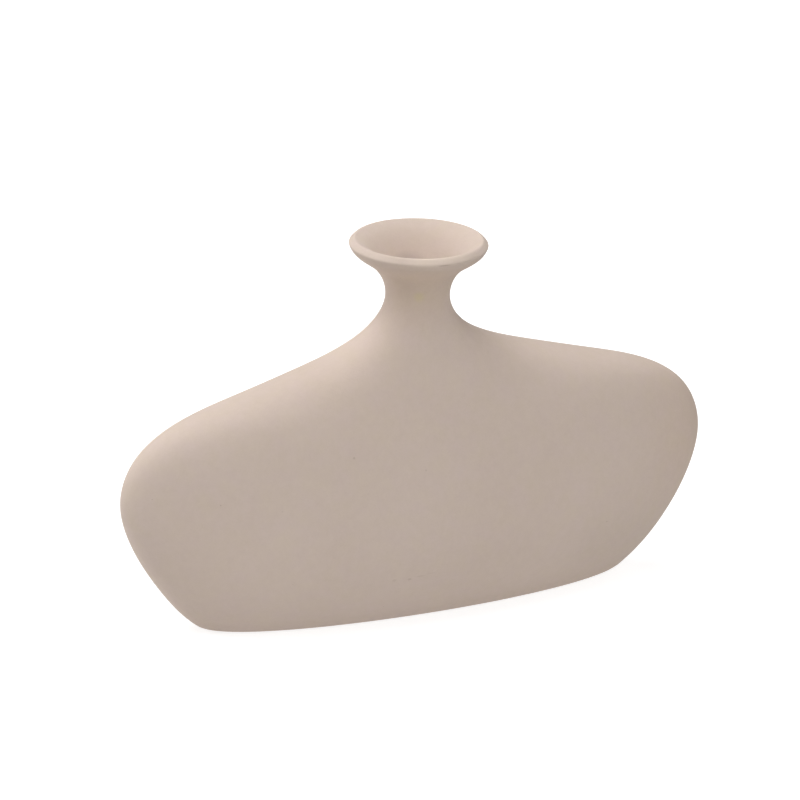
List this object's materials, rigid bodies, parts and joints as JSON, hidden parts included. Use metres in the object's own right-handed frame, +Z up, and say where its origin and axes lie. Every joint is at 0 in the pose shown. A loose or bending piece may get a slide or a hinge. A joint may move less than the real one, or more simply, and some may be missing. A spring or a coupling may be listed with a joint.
{
  "type": "pillow vase",
  "caption": "Wide, flattened oval vase in matte unglazed ceramic, with sloping shoulders, a narrow waisted neck, a flared trumpet mouth and small felt pads under its foot.",
  "frame": {"origin": "on the surface that the pads stand on, under the middle of the foot", "axes": "+X along the vase's length, +Y from its front face to its back face, +Z up through the neck"},
  "size_m": [0.33, 0.1048, 0.1924],
  "materials": {
    "bisque": "matte",
    "felt": "matte"
  },
  "bodies": {
    "root": {"vessel": "bisque", "felt_foot_front_left": "felt", "felt_foot_back_left": "felt", "felt_foot_front_right": "felt", "felt_foot_back_right": "felt"}
  },
  "joints": []
}
